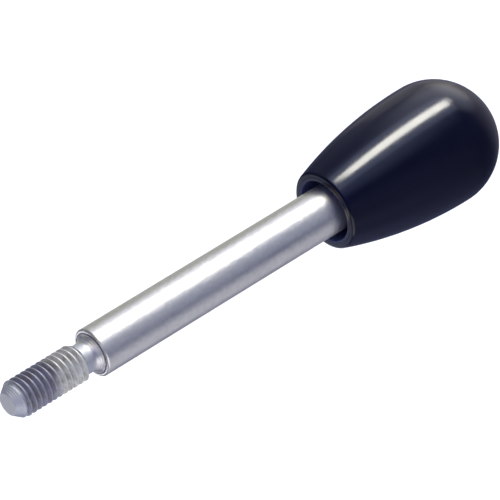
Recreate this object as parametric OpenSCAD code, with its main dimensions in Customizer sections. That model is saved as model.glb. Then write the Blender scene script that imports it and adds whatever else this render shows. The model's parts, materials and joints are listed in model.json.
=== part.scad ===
// Clamping lever: a turned steel rod with a threaded stud at one end and an
// egg-shaped moulded knob at the other, in millimetres.
// The axis lies along X. The origin is the centre of the shoulder face that
// seats on the clamped hub; the stud points to -X and the knob to +X.

/* [Lever rod] */
// Diameter of the plain rod
rod_d = 10; // [9:0.5:11]
// Plain rod in view, from the shoulder face to the mouth of the knob
rod_l = 60; // [30:1:160]
// Chamfer at both ends of the plain rod
rod_chamfer = 0.3; // [0.1:0.1:0.4]

/* [Stud] */
// Length of the stud, from the shoulder face to its tip
stud_l = 20.5; // [14:0.5:40]
// Diameter over the thread crests, alike at both ends of the lever
thread_d = 7.8; // [7.4:0.1:8]
// Diameter of the flat end of the tip
tip_d = 4.7; // [3:0.1:6]
// Half angle of the tip's cone, from the axis
tip_angle = 36; // [25:1:50]

/* [Neck] */
// Diameter of the undercut behind the thread
neck_d = 6.2; // [5.6:0.1:6.8]
// Distance from the shoulder face to the end of the thread
neck_l = 3.8; // [3.4:0.1:6]
// Half angle of the cone that ends the thread, from the axis
thread_end_angle = 60; // [45:1:75]
// Length over which the undercut opens out to the shoulder face
flare_l = 1.9; // [1.8:0.1:2.4]
// Width of the flat ring that is left of the shoulder face
face_ring_w = 0.45; // [0.2:0.05:0.6]

/* [Spigot in the knob] */
// Length of the threaded spigot that screws into the insert
spigot_l = 13; // [8:0.5:18]
// Length of the relief at the root of the spigot
relief_l = 2; // [1:0.5:3]
// Chamfer at the end of the spigot
spigot_chamfer = 0.8; // [0.4:0.1:1.2]

/* [Knob] */
// Greatest diameter of the knob, which is also that of its domed end
knob_d = 26; // [24:0.5:34]
// Length of the knob, from its mouth to the top of the dome
knob_l = 43; // [38:1:60]
// Width of the rim round the mouth
rim_w = 1.7; // [1.4:0.1:2.4]
// Outer rounding of the rim
rim_outer_r = 0.8; // [0.4:0.1:1]
// Inner rounding of the rim
rim_inner_r = 0.25; // [0.15:0.05:0.4]
// Clear gap between the rod and the wall of the mouth
mouth_gap = 1.5; // [0.8:0.1:2]
// Depth of the mouth, down to the face of the insert
mouth_depth = 6; // [3:0.5:8]

/* [Threaded insert] */
// Size across the flats of the hexagonal insert
insert_af = 11; // [10.5:0.5:14]
// Width of the groove that locks the insert in the moulding
groove_w = 4; // [2:0.5:5]
// Depth of that groove below the flats
groove_depth = 0.5; // [0.3:0.1:0.6]
// Radial play between the spigot and the bore
thread_play = 0.1; // [0.05:0.05:0.2]
// Free bore beyond the end of the spigot
bore_end_play = 1; // [0.5:0.5:2]
// Wall that closes the insert behind its bore
end_wall = 2; // [1:0.5:4]

/* [Hidden] */
// Sides of a turned surface
turned_fn = 96;
// Steps along a rounding, along the flank and along the dome
rounding_steps = 8;
flank_steps = 20;
dome_steps = 24;
// A hexagonal bar has six sides
hex_fn = 6;
// How far a cutting body reaches past the face that it opens
cut = 1;

rod_r = rod_d / 2;
thread_r = thread_d / 2;
neck_r = neck_d / 2;
knob_r = knob_d / 2;

// Tip and thread end: axial lengths of their cones
tip_run = (thread_r - tip_d / 2) / tan(tip_angle);
thread_end_run = (thread_r - neck_r) / tan(thread_end_angle);

// One arc opens the undercut out: it leaves the undercut tangentially and
// ends where the flat ring of the shoulder face begins
flare_rise = rod_r - rod_chamfer - face_ring_w - neck_r;
flare_r = (pow(flare_l, 2) + pow(flare_rise, 2)) / (2 * flare_rise);
flare_angle = atan2(flare_l, flare_r - flare_rise);

// The rod's inner end seats on the face of the insert
seat_x = rod_l + mouth_depth;
// The mouth grows with the rod that passes through it
mouth_r = rod_r + mouth_gap;
mouth_outer_r = mouth_r + rim_w;

// The dome is half a sphere. One long arc, the flank, runs from the mouth to
// the dome and meets it tangentially where the knob is widest
dome_x = rod_l + knob_l - knob_r;
flank_l = dome_x - rod_l;
flank_rise = knob_r - mouth_outer_r;
flank_r = (pow(flank_l, 2) + pow(flank_rise, 2)) / (2 * flank_rise);
flank_centre = [knob_r - flank_r, dome_x];

// The rim's outer rounding touches the mouth's face and, from inside, the flank
rim_centre_x = rod_l + rim_outer_r;
rim_centre = [
    flank_centre.x
        + sqrt(pow(flank_r - rim_outer_r, 2) - pow(dome_x - rim_centre_x, 2)),
    rim_centre_x
];
// Angle at which the rounding ends and the flank begins, below zero because
// the rim lies before the widest plane
rim_angle = atan2(rim_centre_x - dome_x, rim_centre.x - flank_centre.x);

insert_corner_r = insert_af / 2 / cos(180 / hex_fn);
insert_l = spigot_l + bore_end_play + end_wall;
bore_r = thread_r + thread_play;
bore_l = spigot_l + bore_end_play;

// Outlines are lists of [radius, place along the axis]

// Points along an arc about a centre, from one angle to another. An arc that
// goes on from the one before it starts at its own second point, with first = 1
function arc(centre, r, from, to, steps = rounding_steps, first = 0) = [
    for (i = [first:steps])
        let (a = from + (to - from) * i / steps)
        centre + r * [cos(a), sin(a)]
];

// Stud, from its flat tip to the undercut
function stud_points() = [
    [0, -stud_l],
    [tip_d / 2, -stud_l],
    [thread_r, -stud_l + tip_run],
    [thread_r, -neck_l],
    [neck_r, -neck_l + thread_end_run]
];

// Arc that opens the undercut out to the shoulder face
function flare_points() =
    arc([neck_r + flare_r, -flare_l], flare_r, 180, 180 - flare_angle);

// Plain rod, from the shoulder face to its seat on the insert
function rod_points() = [
    [rod_r - rod_chamfer, 0],
    [rod_r, rod_chamfer],
    [rod_r, seat_x - rod_chamfer],
    [rod_r - rod_chamfer, seat_x]
];

// Spigot, with its thread relieved at the root
function spigot_points() = [
    [neck_r, seat_x],
    [neck_r, seat_x + relief_l],
    [thread_r, seat_x + relief_l + thread_end_run],
    [thread_r, seat_x + spigot_l - spigot_chamfer],
    [thread_r - spigot_chamfer, seat_x + spigot_l],
    [0, seat_x + spigot_l]
];

// Mouth of the knob, from its bottom out to the flat face of the rim
function mouth_points() = concat(
    [[0, seat_x], [mouth_r, seat_x]],
    arc([mouth_r + rim_inner_r, rod_l + rim_inner_r], rim_inner_r, 180, 270)
);

// Outside of the knob: rounding of the rim, flank and dome
function egg_points() = concat(
    arc(rim_centre, rim_outer_r, -90, rim_angle),
    arc(flank_centre, flank_r, rim_angle, 0, flank_steps, first = 1),
    arc([0, dome_x], knob_r, 0, 90, dome_steps, first = 1)
);

// Turns an outline about the X axis
module turned() {
    rotate([0, 90, 0])
        rotate_extrude($fn = turned_fn)
            children();
}

// The whole lever: stud, undercut, plain rod and spigot, turned from one bar
module lever_shaft() {
    color("#b9bdc4")
        turned()
            polygon(concat(stud_points(), flare_points(), rod_points(), spigot_points()));
}

// Round or hexagonal bar along X, from one place on the axis to another
module bar(r, from, to, sides = turned_fn) {
    translate([from, 0, 0])
        rotate([0, 90, 0])
            cylinder(r = r, h = to - from, $fn = sides);
}

// Outside of the insert: a piece of hexagonal bar with one turned groove
module insert_blank() {
    difference() {
        bar(insert_corner_r, seat_x, seat_x + insert_l, hex_fn);
        turned()
            translate([insert_af / 2 - groove_depth, seat_x + (insert_l - groove_w) / 2])
                square([insert_corner_r, groove_w]);
    }
}

// Egg-shaped knob, moulded round the insert. The last cut opens the bottom of
// the mouth to the insert
module knob() {
    color("#17181f")
        difference() {
            turned()
                polygon(concat(mouth_points(), egg_points()));
            insert_blank();
            intersection() {
                bar(insert_corner_r, seat_x - cut, seat_x + cut, hex_fn);
                bar(mouth_r, seat_x - cut, seat_x + cut);
            }
        }
}

// Brass bush in the knob, with a blind bore for the spigot
module knob_insert() {
    color("#b08d4a")
        difference() {
            insert_blank();
            bar(bore_r, seat_x - cut, seat_x + bore_l);
        }
}

lever_shaft();
knob();
knob_insert();
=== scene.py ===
# %% [markdown]
# # A clamping lever: threaded stud, plain rod and egg-shaped knob
#
# The lever is one turned steel bar. A short thread sticks out at one end, and
# a black moulded knob sits on the other. It is screwed into the hub of a clamp
# and swung by the knob. Nearly everything on it is round about one axis, so
# this lesson builds the shaft and the knob as surfaces of revolution: an
# outline of places along the axis and radii, carried round that axis. Only the
# thread and the six-sided cavity inside the knob aren't round, and there the
# radius depends on the angle as well. The brass bush in that cavity hardly
# shows, so it stays as it was packed and only gets a material.
#
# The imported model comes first. It gives the real sizes in metres, and every
# piece made here has to stay inside its box.

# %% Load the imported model
import json

import bpy
import numpy as np
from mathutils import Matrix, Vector


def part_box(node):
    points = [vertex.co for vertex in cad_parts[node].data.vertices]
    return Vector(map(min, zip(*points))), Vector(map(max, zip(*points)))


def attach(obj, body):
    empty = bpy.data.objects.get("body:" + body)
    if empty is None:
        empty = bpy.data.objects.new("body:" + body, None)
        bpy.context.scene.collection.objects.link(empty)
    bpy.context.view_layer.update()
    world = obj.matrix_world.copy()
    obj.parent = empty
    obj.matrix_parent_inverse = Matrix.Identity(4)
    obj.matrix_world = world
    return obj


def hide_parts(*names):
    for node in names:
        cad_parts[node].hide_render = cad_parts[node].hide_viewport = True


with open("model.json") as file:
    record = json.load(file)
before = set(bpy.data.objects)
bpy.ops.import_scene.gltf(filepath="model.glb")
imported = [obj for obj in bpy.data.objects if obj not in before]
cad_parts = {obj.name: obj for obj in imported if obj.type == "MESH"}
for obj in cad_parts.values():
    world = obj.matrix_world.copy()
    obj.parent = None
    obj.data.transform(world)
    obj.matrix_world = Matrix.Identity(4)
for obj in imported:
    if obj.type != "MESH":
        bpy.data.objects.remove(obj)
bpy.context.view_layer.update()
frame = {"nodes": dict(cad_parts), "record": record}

# %% [markdown]
# ## Sizes
#
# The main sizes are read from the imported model, so they follow it: where the
# shaft and the knob start and end, and how wide they are. The rest are the
# small features that a box can't tell, such as the undercut behind the thread.
# They are in millimetres, the unit of the drawing of such a part. Places along
# the axis are counted from the shoulder face, towards the knob.

# %% Read the main sizes, in millimetres
MM = 0.001


def reach(node):
    """Lowest and highest place along the axis, and radius, of a node's box."""
    low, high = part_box(node)
    return low.x / MM, high.x / MM, high.y / MM


tip_x, spigot_end_x, rod_r = reach("lever_shaft")
mouth_x, dome_end_x, knob_r = reach("knob")
seat_x, insert_end_x, _ = reach("knob_insert")
dims = {mount["name"]: mount["dims"] for mount in frame["record"]["mounts"]}
thread_r = dims["stud"]["r_mm"]
print(f"stud {-tip_x:.1f}, rod {mouth_x:.1f} mm in view")
print(f"knob {2 * knob_r:.1f} x {dome_end_x - mouth_x:.1f} mm")

# %% [markdown]
# ## Outlines
#
# A turned part is drawn as half a section: straight runs with a rounding at
# each corner. No real edge is perfectly sharp, and the thin bright line that a
# rounding of a tenth of a millimetre catches is what makes metal look like
# metal. So one helper rounds every corner of an outline, and another adds
# points along it where the surface needs more of them.

# %% Helpers for outlines
def unit(vector):
    """The vector at length one."""
    return vector / np.linalg.norm(vector)


def rounded(corners, radii, steps=5):
    """Outline through the corners, each of them rounded by its own radius.

    The arc's centre lies on the line that halves the corner, at the radius
    over the sine of the half angle. Its points turn evenly from the first
    touching point to the second: each is a mix of the two arms, weighted by
    the sines of the angle done and the angle left. The ends stay sharp.
    """
    corners = np.array(corners, float)
    outline = [corners[:1]]
    for before, corner, after, radius in zip(corners, corners[1:], corners[2:], radii):
        back, on = unit(before - corner), unit(after - corner)
        half = np.arccos(np.clip(back @ on, -1, 1)) / 2
        centre = corner + unit(back + on) * radius / np.sin(half)
        first = corner + back * radius / np.tan(half) - centre
        last = corner + on * radius / np.tan(half) - centre
        turn = np.pi - 2 * half
        done = np.linspace(0, turn, steps + 1)[:, None]
        outline.append(centre + (np.sin(turn - done) * first + np.sin(done) * last) / np.sin(turn))
    return np.vstack(outline + [corners[-1:]])


def arc(centre, radius, start, end, steps):
    """Points at one distance from a centre, between two angles in degrees.

    The angle is zero along the axis towards the knob, and grows outwards.
    """
    angle = np.radians(np.linspace(start, end, steps + 1))
    return np.column_stack([centre[0] + radius * np.cos(angle), centre[1] + radius * np.sin(angle)])


def filled(outline, step):
    """The same outline with more points, so that they are about a step apart or less.

    Every own point stays. Marks at even steps along the length join them,
    unless one lies almost on an own point.
    """
    length = np.r_[0, np.cumsum(np.linalg.norm(np.diff(outline, axis=0), axis=1))]
    marks = np.arange(step, length[-1], step)
    clear = np.abs(marks[:, None] - length).min(axis=1) > step / 3
    along = np.sort(np.r_[length, marks[clear]])
    return np.column_stack([np.interp(along, length, outline[:, i]) for i in (0, 1)])


# %% [markdown]
# ## From an outline to a closed surface
#
# The grid has one row for each point of the outline and one column for each
# step round the axis. Rows next to each other are joined by four-sided faces,
# and the first and last row shrink to one point each, so the surface is
# closed and has no double points. The order of a face's corners makes it look
# outwards. It is round first and then along, for outlines that are drawn with
# the solid on their right.

# %% Helper that makes a turned piece
def turned_piece(name, x, radius, sharp_angle=35):
    """Closed mesh from places along the axis and radii, rows by columns.

    A point is (x, radius times cosine, radius times sine) of its column's
    angle. The first and last rows are the two ends on the axis.
    """
    rows, columns = radius.shape
    turn = 2 * np.pi * np.arange(columns) / columns
    x = np.broadcast_to(x, radius.shape)
    grid = np.stack([x, radius * np.cos(turn), radius * np.sin(turn)], axis=-1)[1:-1]
    ends = [[x[0, 0], 0, 0], [x[-1, 0], 0, 0]]
    points = np.vstack([grid.reshape(-1, 3), ends]) * MM

    here = np.arange((rows - 2) * columns).reshape(rows - 2, columns)
    beside = np.roll(here, -1, axis=1)
    quads = np.stack([here[:-1], beside[:-1], beside[1:], here[1:]], axis=-1).reshape(-1, 4)
    first, last = len(points) - 2, len(points) - 1
    start_fan = np.column_stack([np.full(columns, first), beside[0], here[0]])
    end_fan = np.column_stack([here[-1], beside[-1], np.full(columns, last)])

    mesh = bpy.data.meshes.new(name)
    mesh.from_pydata(points.tolist(), [], quads.tolist() + start_fan.tolist() + end_fan.tolist())
    mesh.shade_smooth()
    mesh.set_sharp_from_angle(angle=np.radians(sharp_angle))
    piece = bpy.data.objects.new(name, mesh)
    bpy.context.scene.collection.objects.link(piece)
    triangles = 2 * len(quads) + 2 * columns
    print(f"{name}: {rows} rows, {columns} columns, {triangles} triangles")
    return piece


# %% [markdown]
# ## The thread
#
# The thread is a metric M8, rolled between dies: the crest moves on by one
# pitch of 1.25 mm with each turn, and the flanks lean 30 degrees from square.
# It could be a profile swept along a helix and cut from the bar, but then the
# ends would need trimming by hand. Here it is a formula instead: at each place
# and angle the distance to the nearest crest line gives the radius, and the
# smaller of that and the bar's own outline is the surface. The thread then
# runs out by itself through the chamfer at the tip and into the undercut, as
# a rolled one does.

# %% Thread as a radius that depends on place and angle
PITCH = 1.25
THREAD_DEPTH = 0.767
CREST_FLAT = PITCH / 8
FLANK_SLOPE = 1 / np.tan(np.radians(30))
THREAD_ROUNDING = 0.02
SHAFT_COLUMNS = 128
print(f"M8 thread: crests {2 * thread_r:.1f} mm across, {PITCH} mm apart")


def soft_min(a, b, rounding):
    """The smaller of two radii, with the corner where they cross rounded.

    Half of their sum, less half of the root of their difference squared plus
    the rounding squared.
    """
    return (a + b - np.sqrt((a - b) ** 2 + rounding**2)) / 2


def threaded(outline, crest_x):
    """Places and radii, rows by columns, of an outline with a thread cut in it.

    The crest line passes the first column at crest_x. Away from a crest by
    more than half its flat, the radius falls with the flank's slope down to
    the root. The result is never above the outline.
    """
    x, bar_r = outline[:, :1], outline[:, 1:]
    turn = np.arange(SHAFT_COLUMNS) / SHAFT_COLUMNS
    turns_off = (x - crest_x) / PITCH - turn
    away = np.abs(turns_off - np.round(turns_off)) * PITCH
    flank = thread_r - (away - CREST_FLAT / 2) * FLANK_SLOPE
    root = thread_r - THREAD_DEPTH
    grooved = -soft_min(-flank, -np.full_like(flank, root), THREAD_ROUNDING)
    threaded_r = soft_min(np.full_like(flank, thread_r), grooved, THREAD_ROUNDING)
    return x, np.minimum(bar_r, soft_min(bar_r + THREAD_ROUNDING / 2, threaded_r, THREAD_ROUNDING))


# %% [markdown]
# ## The lever shaft
#
# The whole shaft is one steel bar turned in a lathe, so it is one closed mesh:
# flat tip, cone, thread, undercut, the flare that opens out to the shoulder,
# the plain rod, its seat inside the knob, and the threaded spigot. The form
# tool that opened the flare left a few low rings in it, which show as thin
# bright lines, so they are a ripple of two hundredths of a millimetre in the
# outline. Rows are close together only in the threads and on the flare.

# %% Sizes of the shaft's small features
TIP_FLAT_R = 2.35
TIP_CONE_ANGLE = 36
THREAD_END_X = -3.8
THREAD_END_ANGLE = 60
NECK_R = 3.1
FLARE_L = 1.9
RING_W = 0.45
ROD_CHAMFER = 0.3
RELIEF_L = 2
SPIGOT_CHAMFER = 0.8
EDGE_R = 0.08
TIP_EDGE_R = 0.2
THREAD_END_R = 0.15
TIP_CONE_L = (thread_r - TIP_FLAT_R) / np.tan(np.radians(TIP_CONE_ANGLE))
THREAD_END_L = (thread_r - NECK_R) / np.tan(np.radians(THREAD_END_ANGLE))
print(f"tip cone {TIP_CONE_L:.2f} mm long, thread end {THREAD_END_L:.2f} mm long")

# %% Build the lever shaft
FINE_STEP = PITCH / 24
HIDDEN_STEP = PITCH / 14
PLAIN_STEP = 1.5
FLARE_STEPS = 40
RIPPLE = 0.012
RIPPLE_SPACING = 0.6
FIRST_CREST_X = -18.41


def flare():
    """Arc from the undercut out to the shoulder's flat ring, with low rings.

    The arc leaves the undercut along it. Its radius is the length squared
    plus the rise squared, over twice the rise. A cosine ripple sinks the
    stretches between the rings a little.
    """
    rise = rod_r - ROD_CHAMFER - RING_W - NECK_R
    radius = (FLARE_L**2 + rise**2) / (2 * rise)
    end = np.degrees(np.arcsin(FLARE_L / radius))
    points = arc((-FLARE_L, NECK_R + radius), radius, -90, -90 + end, FLARE_STEPS)
    points[:, 1] += RIPPLE * (np.cos(2 * np.pi * points[:, 0] / RIPPLE_SPACING) - 1)
    return points


stud = rounded(
    [
        (tip_x, 0),
        (tip_x, TIP_FLAT_R),
        (tip_x + TIP_CONE_L, thread_r),
        (THREAD_END_X, thread_r),
        (THREAD_END_X + THREAD_END_L, NECK_R),
        (-FLARE_L, NECK_R),
    ],
    [TIP_EDGE_R, TIP_EDGE_R, THREAD_END_R, THREAD_END_R],
)
rod = rounded(
    [
        (0, rod_r - ROD_CHAMFER - RING_W),
        (0, rod_r - ROD_CHAMFER),
        (ROD_CHAMFER, rod_r),
        (seat_x - ROD_CHAMFER, rod_r),
        (seat_x, rod_r - ROD_CHAMFER),
        (seat_x, NECK_R),
    ],
    [EDGE_R] * 4,
)
spigot = rounded(
    [
        (seat_x, NECK_R),
        (seat_x + RELIEF_L, NECK_R),
        (seat_x + RELIEF_L + THREAD_END_L, thread_r),
        (spigot_end_x - SPIGOT_CHAMFER, thread_r),
        (spigot_end_x, thread_r - SPIGOT_CHAMFER),
        (spigot_end_x, 0),
    ],
    [THREAD_END_R, THREAD_END_R, EDGE_R, EDGE_R],
)

stud_x, stud_grid = threaded(filled(stud, FINE_STEP), FIRST_CREST_X)
spigot_x, spigot_grid = threaded(filled(spigot, HIDDEN_STEP), FIRST_CREST_X)
plain = np.vstack([flare()[1:], filled(rod, PLAIN_STEP)])
plain_grid = np.repeat(plain[:, 1:], SHAFT_COLUMNS, axis=1)
shaft = turned_piece(
    "turned_lever_shaft",
    np.vstack([stud_x, plain[:, :1], spigot_x[1:]]),
    np.vstack([stud_grid, plain_grid, spigot_grid[1:]]),
)
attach(shaft, "root")
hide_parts("lever_shaft")

# %% [markdown]
# ## The knob
#
# The knob is moulded in one piece from phenolic resin round a brass bush: a
# half ball, one long arc down to a rounded rim, and a mouth that the rod goes
# into. It could be a squashed sphere, but a sphere has no flank and no rim.
# So it is one more outline, drawn from the bottom of the bush's cavity out
# through the mouth, over the low lip on the rim's inner edge, round the rim
# and on to the top of the dome. The cavity is six-sided, so there the radius
# depends on the angle: half the size across the flats, over the cosine of the
# angle from the nearest flat's middle.

# %% Sizes of the knob's small features
MOUTH_GAP = 1.5
RIM_W = 1.7
RIM_OUTER_R = 0.8
RIM_INNER_R = 0.25
LIP_W = 0.5
LIP_H = 0.07
LIP_EDGE_R = 0.04
INSERT_AF = 11
GROOVE_W = 4
GROOVE_DEPTH = 0.5
KNOB_COLUMNS = 144
KNOB_STEP = 0.6
RIM_STEPS, FLANK_STEPS, DOME_STEPS = 12, 48, 36

# %% Build the knob
turn_angle = 2 * np.pi * np.arange(KNOB_COLUMNS) / KNOB_COLUMNS
from_flat = (turn_angle + np.pi / 6) % (np.pi / 3) - np.pi / 6
hexagon = INSERT_AF / 2 / np.cos(from_flat)
mouth_r = rod_r + MOUTH_GAP
dome_x = dome_end_x - knob_r


def outside():
    """Outline of the rim, the flank and the dome, from the lip to the top.

    The flank's arc is as wide as the knob at the dome and passes the rim's
    outer edge in the mouth's plane: its radius is the run squared plus the
    rise squared, over twice the rise. The rim's rounding touches it from
    inside, so its centre is nearer to the flank's centre by its own radius.
    """
    run, rise = dome_x - mouth_x, knob_r - mouth_r - RIM_W
    flank_r = (run**2 + rise**2) / (2 * rise)
    centre_x = mouth_x + RIM_OUTER_R
    off = np.sqrt((flank_r - RIM_OUTER_R) ** 2 - (dome_x - centre_x) ** 2)
    centre = (centre_x, knob_r - flank_r + off)
    touch = np.degrees(np.arctan2(off, centre_x - dome_x))
    face = np.degrees(np.arcsin((RIM_OUTER_R - LIP_H) / RIM_OUTER_R))
    return np.vstack(
        [
            arc(centre, RIM_OUTER_R, 90 + face, touch, RIM_STEPS),
            arc((dome_x, knob_r - flank_r), flank_r, touch, 90, FLANK_STEPS)[1:],
            arc((dome_x, 0), knob_r, 90, 0, DOME_STEPS)[1:],
        ]
    )


mouth = rounded(
    [
        (seat_x, mouth_r),
        (mouth_x, mouth_r),
        (mouth_x, mouth_r + RIM_INNER_R + LIP_W),
        (mouth_x + LIP_H, mouth_r + RIM_INNER_R + LIP_W + LIP_H),
        outside()[0],
    ],
    [RIM_INNER_R, LIP_EDGE_R, LIP_EDGE_R],
)
moulded = np.vstack([filled(mouth[:-1], KNOB_STEP), outside()])
groove_x = (seat_x + insert_end_x) / 2 + np.array([1, -1]) * GROOVE_W / 2
cavity = [
    (insert_end_x, 0 * hexagon),
    (insert_end_x, hexagon / 2),
    (insert_end_x, hexagon),
    (groove_x[0], hexagon),
    (groove_x[0], 0 * hexagon + INSERT_AF / 2 - GROOVE_DEPTH),
    (groove_x[1], 0 * hexagon + INSERT_AF / 2 - GROOVE_DEPTH),
    (groove_x[1], hexagon),
    (seat_x, hexagon),
]
knob = turned_piece(
    "moulded_knob",
    np.r_[[x for x, _ in cavity], moulded[:, 0]][:, None],
    np.vstack([np.array([r for _, r in cavity]), np.repeat(moulded[:, 1:], KNOB_COLUMNS, axis=1)]),
)
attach(knob, "root")
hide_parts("knob")

# %% [markdown]
# ## Materials
#
# Three finishes: bright zinc plate on steel, polished black resin, and dull
# brass. Each is a graph of nodes on one shader. Patterns read Object
# coordinates, which are metres here, so a pattern's scale is one over its
# real size in metres. The sizes themselves are given in millimetres. A few
# helpers come first. One turns a screen colour into the linear one that the
# renderer wants, one adds a node together with its settings and links, and
# one makes the soft patches that no real finish is free of.

# %% Helpers for materials
def linear(code):
    """Linear RGBA of an sRGB hex colour, by the standard's two-part curve."""
    srgb = np.array([int(code[i : i + 2], 16) for i in (1, 3, 5)]) / 255
    rgb = np.where(srgb <= 0.04045, srgb / 12.92, ((srgb + 0.055) / 1.055) ** 2.4)
    return (*rgb.tolist(), 1.0)


def add_node(tree, kind, inputs=None, **settings):
    """Adds a node with its settings. An input is a value, or the socket that feeds it."""
    node = tree.nodes.new(kind)
    for name, value in settings.items():
        setattr(node, name, value)
    for socket, value in (inputs or {}).items():
        if isinstance(value, bpy.types.NodeSocket):
            tree.links.new(value, node.inputs[socket])
        else:
            node.inputs[socket].default_value = value
    return node


def new_material(name, **shader_inputs):
    """A material with one Principled shader, its tree and its coordinates."""
    material = bpy.data.materials.new(name)
    material.use_nodes = True
    tree = material.node_tree
    shader = tree.nodes["Principled BSDF"]
    for socket, value in shader_inputs.items():
        shader.inputs[socket.replace("_", " ")].default_value = value
    place = add_node(tree, "ShaderNodeTexCoord").outputs["Object"]
    return material, tree, shader, place


def per_mm(size):
    """Scale of a pattern whose features are that many millimetres apart."""
    return 1 / (size * MM)


def patches(tree, place, size, spread, values=(0.0, 1.0), **noise):
    """Socket with soft patches of that size, in mm, between two values.

    Noise at or under the spread's first number gives the first value, noise at
    or over its second number gives the second, and between them it runs evenly.
    """
    cloud = add_node(tree, "ShaderNodeTexNoise", {"Vector": place, "Scale": per_mm(size), **noise})
    limits = dict(zip(["From Min", "From Max", "To Min", "To Max"], [*spread, *values]))
    patched = add_node(tree, "ShaderNodeMapRange", {"Value": cloud.outputs["Fac"], **limits})
    return patched.outputs["Result"]


def coat(piece, material):
    """Gives the piece its material and prints how many nodes that has."""
    piece.data.materials.clear()
    piece.data.materials.append(material)
    print(f"{piece.name}: {material.name}, {len(material.node_tree.nodes)} nodes")


# %% [markdown]
# All three pieces lie on one axis, and both metals were turned on it, so two
# more helpers follow the lathe. One gives the place along the axis and
# the distance from it. The other gives the height of the rings that a tool
# leaves: a sine of the distance from the axis, one ring for each step of the
# tool's feed. It shows on faces and cones, and vanishes by itself on a
# cylinder, where that distance doesn't change.

# %% Helpers for round pieces
def lathe_places(tree, place):
    """Sockets for the place along the axis and the distance from it, in metres."""
    parts = add_node(tree, "ShaderNodeSeparateXYZ", {"Vector": place})
    across = add_node(tree, "ShaderNodeCombineXYZ", {"Y": parts.outputs["Y"], "Z": parts.outputs["Z"]})
    distance = add_node(tree, "ShaderNodeVectorMath", {0: across.outputs[0]}, operation="LENGTH")
    return parts.outputs["X"], distance.outputs["Value"]


def turning_rings(tree, from_axis, feed):
    """Height that rises and falls once for each step of the feed, which is in mm."""
    angle = add_node(
        tree, "ShaderNodeMath", {0: from_axis, 1: 2 * np.pi * per_mm(feed)}, operation="MULTIPLY"
    )
    return add_node(tree, "ShaderNodeMath", {0: angle.outputs[0]}, operation="SINE").outputs[0]


# %% [markdown]
# ### Zinc-plated turned steel
#
# Bright zinc is a thin metal coat with a fine, soft grain, so reflections are
# wide and have no sharp edge, and the coat is faintly cloudy. The rod is
# clean. On the stud the plate is duller. In the bottom of the thread it is
# thin and holds oil and dirt, and there the surface is a matt grey with brown
# stains, which is partly painted shade for the shade deep in the grooves. The
# half towards the tip has been in a hole and is darker still, up to a ragged
# end. A place is in a groove if it is within the thread's length and nearer
# to the axis than the crests are.

# %% Where the stud is grooved and where it was used
# Place where the used half ends, reach and size of the noise that makes its end
# ragged, and half the width over which it fades
USED_END_X = -10.5
RAGGED = 5
RAGGED_SIZE = 2.5
USED_BLEND = 1
# Depths under the crests at which the groove's colour is full and at which it is gone
GROOVE_BLEND = (0.16, 0.04)


def stud_masks(tree, place, along, from_axis):
    """Sockets from 0 to 1: within the thread, in a groove, and on the used half.

    The used half is where the place along the axis, plus the noise times its
    reach, is lower than the end of the half plus half that reach.
    """
    thread_start, thread_end = tip_x + TIP_CONE_L, THREAD_END_X + THREAD_END_L
    within = add_node(
        tree,
        "ShaderNodeMath",
        {0: along, 1: (thread_start + thread_end) / 2 * MM, 2: (thread_end - thread_start) / 2 * MM},
        operation="COMPARE",
    )
    deep, crest = [(thread_r - depth) * MM for depth in GROOVE_BLEND]
    below = add_node(tree, "ShaderNodeMapRange", {"Value": from_axis, "From Min": crest, "From Max": deep})
    groove = add_node(
        tree, "ShaderNodeMath", {0: within.outputs[0], 1: below.outputs["Result"]}, operation="MULTIPLY"
    )
    noise = add_node(
        tree, "ShaderNodeTexNoise", {"Vector": place, "Scale": per_mm(RAGGED_SIZE), "Detail": 3.0}
    )
    shifted = add_node(
        tree, "ShaderNodeMath", {0: noise.outputs["Fac"], 1: RAGGED * MM, 2: along}, operation="MULTIPLY_ADD"
    )
    middle = USED_END_X + RAGGED / 2
    used = add_node(
        tree,
        "ShaderNodeMapRange",
        {
            "Value": shifted.outputs[0],
            "From Min": (middle + USED_BLEND) * MM,
            "From Max": (middle - USED_BLEND) * MM,
        },
    )
    return within.outputs[0], groove.outputs[0], used.outputs["Result"]


# %% Colours of the plate
STAIN = 1.8
CLOUD = 0.9
# Painted shade: a thin dark line where the flare meets the shoulder's flat ring
SEAT_SHADE_W = 0.32


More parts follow.
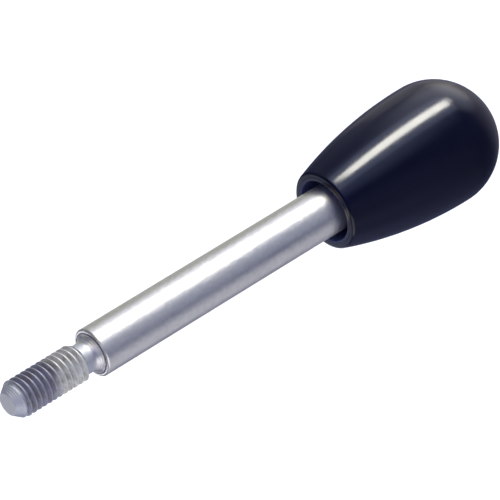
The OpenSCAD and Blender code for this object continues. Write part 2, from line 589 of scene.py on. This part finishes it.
def plate_colours(tree, place, along, from_axis, on_stud):
    """Socket with the colour, and one that is 0 in the grooves, where painted shade and dirt take the
    metal's place.

    Each row of the table mixes two colours by a mask. The first one shows
    where the mask is 0 and the second where it is 1. Either may be the result
    of a row above.
    """
    within, groove, used = stud_masks(tree, place, along, from_axis)
    stains = patches(tree, place, STAIN, (0.42, 0.66), Detail=6.0, Roughness=0.65)
    clouds = patches(tree, place, CLOUD, (0.35, 0.65), Detail=3.0)
    # Painted shade in the crease between the flare and the shoulder's flat ring
    seat_shade = add_node(
        tree,
        "ShaderNodeMath",
        {0: from_axis, 1: (rod_r - ROD_CHAMFER - RING_W) * MM, 2: SEAT_SHADE_W / 2 * MM},
        operation="COMPARE",
    )
    # The grooves' matt colours are partly painted shade for the deep thread, and partly oil and dirt
    mixes = {
        "clean half's painted shade and dirt": (stains, "#c9cac7", "#979488"),
        "used half's painted shade and dirt": (stains, "#84859a", "#716a6e"),
        "painted groove shade and dirt": (used, "clean half's painted shade and dirt", "used half's painted shade and dirt"),
        "crests": (used, "#ecebe6", "#b9babf"),
        "rod plate": (clouds, "#f3f0e9", "#eae7e0"),
        "plate": (on_stud, "rod plate", "#d8dade"),
        "plate and painted seat shade": (seat_shade.outputs[0], "plate", "#757a9a"),
        "metal": (within, "plate and painted seat shade", "crests"),
        "whole shaft": (groove, "metal", "painted groove shade and dirt"),
    }
    mixed = {}
    for name, (mask, *pair) in mixes.items():
        first, second = [mixed[colour] if colour in mixed else linear(colour) for colour in pair]
        mix = add_node(
            tree, "ShaderNodeMix", {"Factor": mask, "A": first, "B": second}, data_type="RGBA", label=name
        )
        mixed[name] = mix.outputs["Result"]
    # The metallic mask is 0 in the grooves, whose matt colour is painted shade and dirt
    not_in_groove = add_node(tree, "ShaderNodeMath", {0: 1.0, 1: groove}, operation="SUBTRACT")
    return mixed["whole shaft"], not_in_groove.outputs[0]


# %% Zinc-plated steel
# A real feed is under 0.2 mm and a real grain a few hundredths of a millimetre.
# Both would be too fine to show, so they are drawn coarser.
SHAFT_FEED = 0.25
SHAFT_RING_HEIGHT = 0.02
GRAIN = 1.2
GRAIN_HEIGHT = 0.1
# The sheen varies in patches of this size, between these two roughnesses
SHEEN = 9
PLATE_ROUGHNESS = (0.37, 0.43)
# Towards the stud the plate grows duller between these two places
CLEAN_END_X, DULL_START_X = -1.2, -2.4
STUD_DULLNESS = 0.23


def zinc_plated_steel():
    """Bright plate with a soft grain, duller on the stud, with painted shade and dirt in its grooves."""
    material, tree, shader, place = new_material("zinc-plated steel", Metallic=1.0)
    along, from_axis = lathe_places(tree, place)
    on_stud = add_node(
        tree,
        "ShaderNodeMapRange",
        {"Value": along, "From Min": CLEAN_END_X * MM, "From Max": DULL_START_X * MM},
    ).outputs["Result"]
    colour, not_in_groove = plate_colours(tree, place, along, from_axis, on_stud)
    sheen = patches(tree, place, SHEEN, (0.3, 0.7), PLATE_ROUGHNESS, Detail=2.0)
    duller = add_node(
        tree, "ShaderNodeMath", {0: on_stud, 1: STUD_DULLNESS, 2: sheen}, operation="MULTIPLY_ADD"
    )
    grain = add_node(tree, "ShaderNodeTexNoise", {"Vector": place, "Scale": per_mm(GRAIN), "Detail": 3.0})
    grained = add_node(
        tree,
        "ShaderNodeBump",
        {"Height": grain.outputs["Fac"], "Strength": 0.5, "Distance": GRAIN_HEIGHT * MM},
    )
    ringed = add_node(
        tree,
        "ShaderNodeBump",
        {
            "Height": turning_rings(tree, from_axis, SHAFT_FEED),
            "Strength": 0.8,
            "Distance": SHAFT_RING_HEIGHT * MM,
            "Normal": grained.outputs["Normal"],
        },
    )
    tree.links.new(colour, shader.inputs["Base Color"])
    tree.links.new(not_in_groove, shader.inputs["Metallic"])
    tree.links.new(duller.outputs[0], shader.inputs["Roughness"])
    tree.links.new(ringed.outputs["Normal"], shader.inputs["Normal"])
    return material


coat(shaft, zinc_plated_steel())

# %% [markdown]
# ### Polished black phenolic resin
#
# Phenolic resin is moulded hot in a polished steel tool and then tumbled or
# buffed. The body colour is a black with a little blue in it, and nearly all
# that the eye sees is the gloss on top. Buffing leaves the surface very
# slightly wavy, a few millimetres from crest to crest, and that wave keeps a
# long reflection from being ruler-straight. No buff reaches into the narrow
# mouth, so there the resin keeps the dull skin of the moulding. There it is
# also painted a paler blue, as painted light in the shaded gap round the rod.
# A place is in the mouth if it is before the bush and near enough to the axis.

# %% Polished black phenolic resin
WAVE = 5
WAVE_HEIGHT = 0.02
# A faint haze in patches of this size varies the gloss between these roughnesses
HAZE = 3
GLOSS_ROUGHNESS = (0.14, 0.18)
MOUTH_DULLNESS = 0.35


def phenolic_resin():
    """Black gloss with a faint wave and haze, dull inside the mouth and painted a paler blue there as
    painted light.
    """
    material, tree, shader, place = new_material("polished black phenolic resin", IOR=1.55)
    along, from_axis = lathe_places(tree, place)
    near_mouth = add_node(tree, "ShaderNodeMath", {0: along, 1: seat_x * MM}, operation="LESS_THAN")
    narrow = add_node(
        tree, "ShaderNodeMath", {0: from_axis, 1: (mouth_r + RIM_INNER_R) * MM}, operation="LESS_THAN"
    )
    inside = add_node(
        tree, "ShaderNodeMath", {0: near_mouth.outputs[0], 1: narrow.outputs[0]}, operation="MULTIPLY"
    )
    haze = add_node(tree, "ShaderNodeTexNoise", {"Vector": place, "Scale": per_mm(HAZE), "Detail": 4.0})
    low, high = GLOSS_ROUGHNESS
    gloss = add_node(
        tree,
        "ShaderNodeMapRange",
        {"Value": haze.outputs["Fac"], "From Min": 0.3, "From Max": 0.7, "To Min": low, "To Max": high},
    )
    duller = add_node(
        tree,
        "ShaderNodeMath",
        {0: inside.outputs[0], 1: MOUTH_DULLNESS, 2: gloss.outputs["Result"]},
        operation="MULTIPLY_ADD",
    )
    polished = add_node(
        tree,
        "ShaderNodeMix",
        {"Factor": haze.outputs["Fac"], "A": linear("#06071a"), "B": linear("#0a0b20")},
        data_type="RGBA",
    )
    # Painted light: inside the mouth the resin is painted a paler blue
    colour = add_node(
        tree,
        "ShaderNodeMix",
        {"Factor": inside.outputs[0], "A": polished.outputs["Result"], "B": linear("#384074")},
        data_type="RGBA",
    )
    wave = add_node(tree, "ShaderNodeTexNoise", {"Vector": place, "Scale": per_mm(WAVE), "Detail": 1.0})
    wavy = add_node(
        tree,
        "ShaderNodeBump",
        {"Height": wave.outputs["Fac"], "Strength": 0.1, "Distance": WAVE_HEIGHT * MM},
    )
    tree.links.new(colour.outputs["Result"], shader.inputs["Base Color"])
    tree.links.new(duller.outputs[0], shader.inputs["Roughness"])
    tree.links.new(wavy.outputs["Normal"], shader.inputs["Normal"])
    return material


coat(knob, phenolic_resin())

# %% [markdown]
# ### Turned brass
#
# Only a narrow ring of the bush shows, at the bottom of the knob's mouth. It
# was faced in a lathe, so it has fine rings round the axis. Its colour is a
# dark brass brown, darker in patches.

# %% Turned brass on the knob's bush
DARK_PATCH = 2
INSERT_FEED = 0.15
INSERT_RING_HEIGHT = 0.005


def turned_brass():
    """Dull dark brass, darker in patches, with the rings of its facing."""
    material, tree, shader, place = new_material("turned brass", Metallic=1.0, Roughness=0.4)
    _, from_axis = lathe_places(tree, place)
    dark_patches = add_node(
        tree, "ShaderNodeTexNoise", {"Vector": place, "Scale": per_mm(DARK_PATCH), "Detail": 4.0}
    )
    colour = add_node(
        tree,
        "ShaderNodeMix",
        {"Factor": dark_patches.outputs["Fac"], "A": linear("#4d4030"), "B": linear("#7d6840")},
        data_type="RGBA",
    )
    ringed = add_node(
        tree,
        "ShaderNodeBump",
        {
            "Height": turning_rings(tree, from_axis, INSERT_FEED),
            "Strength": 0.2,
            "Distance": INSERT_RING_HEIGHT * MM,
        },
    )
    tree.links.new(colour.outputs["Result"], shader.inputs["Base Color"])
    tree.links.new(ringed.outputs["Normal"], shader.inputs["Normal"])
    return material


coat(frame["nodes"]["knob_insert"], turned_brass())

# %% [markdown]
# ## Floor, room and lights
#
# The lever is shown the way a catalogue shows it: on white, with long strips
# of light overhead that draw a streak down the knob and a wide band along the
# rod. Metal and gloss show what is round them, so the room matters as much as
# the lights. It is dark and a little blue, with soft round patches added to
# it: a bright one beyond the knob, one overhead, and faint ones elsewhere. The
# floor lies well below the lever. It throws no shadow and isn't seen in
# reflections, so it hides none of the room from the metal.

# %% Floor
FLOOR_DROP = 0.6
FLOOR_SIZE = 12.0
floor_mesh = bpy.data.meshes.new("floor")
corners = np.array([(-1, -1), (1, -1), (1, 1), (-1, 1)]) * FLOOR_SIZE / 2
floor_mesh.from_pydata([(x, y, -FLOOR_DROP) for x, y in corners], [], [(0, 1, 2, 3)])
floor = bpy.data.objects.new("floor", floor_mesh)
bpy.context.scene.collection.objects.link(floor)
floor.visible_glossy = False
floor.visible_shadow = False
paint, _, paint_shader, _ = new_material("white matt paint", Roughness=0.9)
paint_shader.inputs["Base Color"].default_value = linear("#f4f4f2")
coat(floor, paint)

# %% Room that the surfaces reflect
DIM = (0.05, 0.06, 0.11)
# Each patch: azimuth from +X towards +Y, elevation and half angle in degrees, colour
PATCHES = [
    (28, 8, 24, (0.22, 0.18, 0.12)),
    (25, 5, 55, (0.23, 0.22, 0.24)),
    (25, 35, 35, (0.78, 0.82, 1.05)),
    (80, 40, 45, (0.11, 0.12, 0.14)),
    (0, 90, 45, (0.38, 0.46, 0.76)),
    (-90, 0, 45, (0.07, 0.08, 0.15)),
    (-90, -45, 45, (0.09, 0.10, 0.17)),
    (-140, 40, 45, (0.0, 0.0, 0.19)),
    (0, -90, 50, (0.07, 0.07, 0.11)),
]

world = bpy.data.worlds.new("studio room")
bpy.context.scene.world = world
world.use_nodes = True
room = world.node_tree
toward = add_node(room, "ShaderNodeTexCoord").outputs["Generated"]
total = add_node(room, "ShaderNodeCombineXYZ", dict(zip("XYZ", DIM))).outputs[0]
for azimuth, elevation, half_angle, colour in PATCHES:
    azimuth, elevation = np.radians([azimuth, elevation])
    middle = (np.cos(azimuth) * np.cos(elevation), np.sin(azimuth) * np.cos(elevation), np.sin(elevation))
    near = add_node(room, "ShaderNodeVectorMath", {0: toward, 1: middle}, operation="DOT_PRODUCT")
    edge = float(np.cos(np.radians(half_angle)))
    soft = add_node(
        room,
        "ShaderNodeMapRange",
        {"Value": near.outputs["Value"], "From Min": edge, "From Max": 1.0},
        interpolation_type="SMOOTHSTEP",
    )
    patch = add_node(
        room, "ShaderNodeVectorMath", {0: colour, "Scale": soft.outputs["Result"]}, operation="SCALE"
    )
    total = add_node(
        room, "ShaderNodeVectorMath", {0: total, 1: patch.outputs[0]}, operation="ADD"
    ).outputs[0]
# Where the camera looks past the floor it sees plain white
ray = add_node(room, "ShaderNodeLightPath")
backdrop = add_node(
    room,
    "ShaderNodeMix",
    {"Factor": ray.outputs["Is Camera Ray"], "A": total, "B": (1.0, 1.0, 1.0, 1.0)},
    data_type="RGBA",
)
room.links.new(backdrop.outputs["Result"], room.nodes["Background"].inputs["Color"])
print(f"room: {len(PATCHES)} soft patches, {len(room.nodes)} nodes")

# %% [markdown]
# A single lamp would leave most of a round bar black, so a photographer adds
# white cards at the sides and keeps each of them off the other pieces with a
# flag. Here the cards are large weak lights, and light linking is the flag: a
# few reach the knob alone, and the others the shaft alone. Their radiances are
# on the scale of the picture, where 1 is white.

# %% Helpers for lights
# All level lights overhead are turned from the lever's axis by this many degrees
STRIP_ANGLE = 9.6


def area_light(name, place, target, size, radiance, colour, shape="RECTANGLE"):
    """Flat light aimed at a point, with the power that gives a rectangle its radiance.

    That power is radiance times area times pi. An ellipse gets the power of the
    rectangle round it, so it shines 4 / pi times as strongly.
    """
    data = bpy.data.lights.new(name, "AREA")
    data.shape = shape
    data.size, data.size_y = size
    data.energy = radiance * size[0] * size[1] * np.pi
    data.color = colour
    light = bpy.data.objects.new(name, data)
    light.location = place
    light.rotation_euler = (Vector(target) - Vector(place)).to_track_quat("-Z", "Y").to_euler()
    light.visible_camera = False
    bpy.context.scene.collection.objects.link(light)
    print(f"{name}: {data.energy:.2f} W")
    return light


def overhead(name, place, size, radiance, colour):
    """Area light that faces straight down, turned by the strips' angle."""
    light = area_light(name, place, (*place[:2], 0), size, radiance, colour)
    light.rotation_euler = (0, 0, np.radians(STRIP_ANGLE))
    return light


def light_only(piece, lights):
    """Lets the lights reach one piece alone, as flags in front of lamps do."""
    group = bpy.data.collections.new(f"lit {piece.name}")
    group.objects.link(piece)
    for light in lights:
        light.light_linking.receiver_collection = group


# %% [markdown]
# ### On the knob
#
# The strip hangs level overhead, turned a little from the lever's axis, and
# draws the streak. A short weaker one past its end lets the streak fade out,
# and a pale ceiling just over it puts a faint blue glow along the streak.
# Beyond the dome three round cards hang in one place, each wider and weaker
# than the one before it, which makes a glow with a soft edge. Four more cards
# light the rim and the mouth.

# %% Lights that reach the knob alone
# Places and sizes are in metres, as everything in the scene is
STRIP_L = 0.45
KNOB_STRIP_W = 0.14
KNOB_STRIP_PLACE = (0.295, 0.098, 0.6)
CEILING_PLACE = (0.25, 0.10, 0.64)
STRIP_END_PLACE = (0.591, 0.181, 0.6)
GLOW_PLACE = (0.633, 0.358, 0.266)
GLOW_AIM = (0.09, 0, 0)
GLOW_COLOUR = (1.0, 0.97, 0.8)
GLOW_RINGS = [(0.2, 0.45), (0.36, 0.4), (0.56, 0.25)]
# Each card: name, place, the point it faces, width and height, radiance, colour
KNOB_CARDS = [
    ("rear rim card", (0.543, 0.536, 0.03), (0.09, 0, 0), (0.4, 0.4), 0.2, (1.0, 0.95, 0.8)),
    ("low rim card", (-0.19, 0.275, -0.33), (0.06, 0, 0), (0.35, 0.35), 0.54, (0.7, 0.75, 1.0)),
    ("front rim card", (-0.26, -0.29, -0.25), (0.06, 0, 0), (0.42, 0.42), 0.85, (1.0, 1.0, 1.0)),
    ("mouth card", (0.13, 0.155, -0.44), (0.06, 0, 0), (0.2, 0.2), 0.6, (1.0, 1.0, 1.0)),
]
end_glow = [
    area_light(f"end glow {size}", GLOW_PLACE, GLOW_AIM, (size, size), radiance, GLOW_COLOUR, "ELLIPSE")
    for size, radiance in GLOW_RINGS
]
knob_overheads = [
    overhead("knob strip", KNOB_STRIP_PLACE, (STRIP_L, KNOB_STRIP_W), 17.5, (1.0, 0.97, 0.86)),
    overhead("lit ceiling", CEILING_PLACE, (0.75, 0.48), 0.8, (0.6, 0.7, 1.0)),
    overhead("strip end", STRIP_END_PLACE, (0.16, 0.12), 5, (1.0, 0.97, 0.9)),
]
light_only(knob, knob_overheads + end_glow + [area_light(*card) for card in KNOB_CARDS])

# %% [markdown]
# ### On the shaft
#
# The shaft has a strip of its own, wider and weaker than the knob's, which
# the plate spreads into one broad highlight. Large weak cards light the rod's
# other sides. Some are warm, as the rod's upper side is in the photo.
# The last four stand past the tip, so that the stud has light of its own.

# %% Lights that reach the shaft alone
SHAFT_STRIP_W = 0.2
SHAFT_STRIP_PLACE = (0.295, 0.071, 0.6)
SHAFT_CARDS = [
    ("front card", (-0.02, -0.36, -0.34), (0, 0, 0), (1.0, 0.7), 0.4, (0.98, 0.98, 1.0)),
    ("high front card", (0.335, -0.38, 0.35), (0.03, 0, 0), (0.5, 0.5), 0.3, (0.75, 0.8, 1.0)),
    ("low rear card", (0.335, 0.396, -0.33), (0.03, 0, 0), (0.6, 0.6), 0.45, (1.0, 1.0, 0.75)),
    ("warm card", (-0.27, 0, 0.55), (0.03, 0, 0), (0.6, 0.6), 0.4, (1.0, 0.82, 0.3)),
    ("rear warm card", (0.386, 0.566, 0.208), (0.03, 0, 0), (0.4, 0.4), 0.12, (1.0, 0.97, 0.1)),
    ("low end card", (-0.25, 0.25, -0.30), (-0.02, 0, 0), (0.3, 0.3), 1.6, (1.0, 1.0, 1.0)),
    ("left front card", (-0.33, -0.48, -0.18), (-0.02, 0, 0), (0.4, 0.4), 1.5, (1.0, 1.0, 1.0)),
    ("rear card", (-0.1, 0.6, 0.06), (-0.02, 0, 0), (0.4, 0.4), 0.2, (1.0, 1.0, 1.0)),
    ("side card", (-0.45, -0.14, 0.28), (-0.01, 0, 0), (0.45, 0.45), 0.45, (1.0, 1.0, 1.0)),
]
shaft_strip = overhead("shaft strip", SHAFT_STRIP_PLACE, (STRIP_L, SHAFT_STRIP_W), 8.9, (1.0, 0.98, 0.84))
light_only(shaft, [shaft_strip] + [area_light(*card) for card in SHAFT_CARDS])

# %% [markdown]
# ### On the floor
#
# One more light, as large as the floor, faces down just above it and keeps it
# evenly pale. Neither the camera nor the metal sees it.

# %% Light on the floor
WASH_PLACE = (0, 0, -0.45)
wash = area_light("floor wash", WASH_PLACE, (0, 0, -1), (FLOOR_SIZE, FLOOR_SIZE), 1.1, (1.0, 0.99, 0.95))
wash.visible_glossy = False

# %% [markdown]
# ## Camera
#
# The camera stands where the photographer stood: beyond the stud and to one
# side of it, well above it, and far away with a long lens, which keeps the
# lever's two ends nearly at one scale. Place and lens were worked out from the
# lever's own edges, with the sizes above as the measure.

# %% Camera
CAMERA_AZIMUTH = -42.67
CAMERA_ELEVATION = 41.42
CAMERA_DISTANCE = 0.7454
LENS = 286.6
AIM = Vector((30.6, -10.6, 14.4)) * MM
azimuth, elevation = np.radians([CAMERA_AZIMUTH, CAMERA_ELEVATION])
away = Vector(
    (np.sin(azimuth) * np.cos(elevation), -np.cos(azimuth) * np.cos(elevation), np.sin(elevation))
)
camera_data = bpy.data.cameras.new("camera")
camera_data.lens = LENS
camera = bpy.data.objects.new("camera", camera_data)
camera.location = AIM + away * CAMERA_DISTANCE
camera.rotation_euler = away.to_track_quat("Z", "Y").to_euler()
bpy.context.scene.collection.objects.link(camera)
bpy.context.scene.camera = camera
bpy.context.scene.view_settings.view_transform = "Standard"
print("camera at", [round(x, 3) for x in camera.location], "in metres")
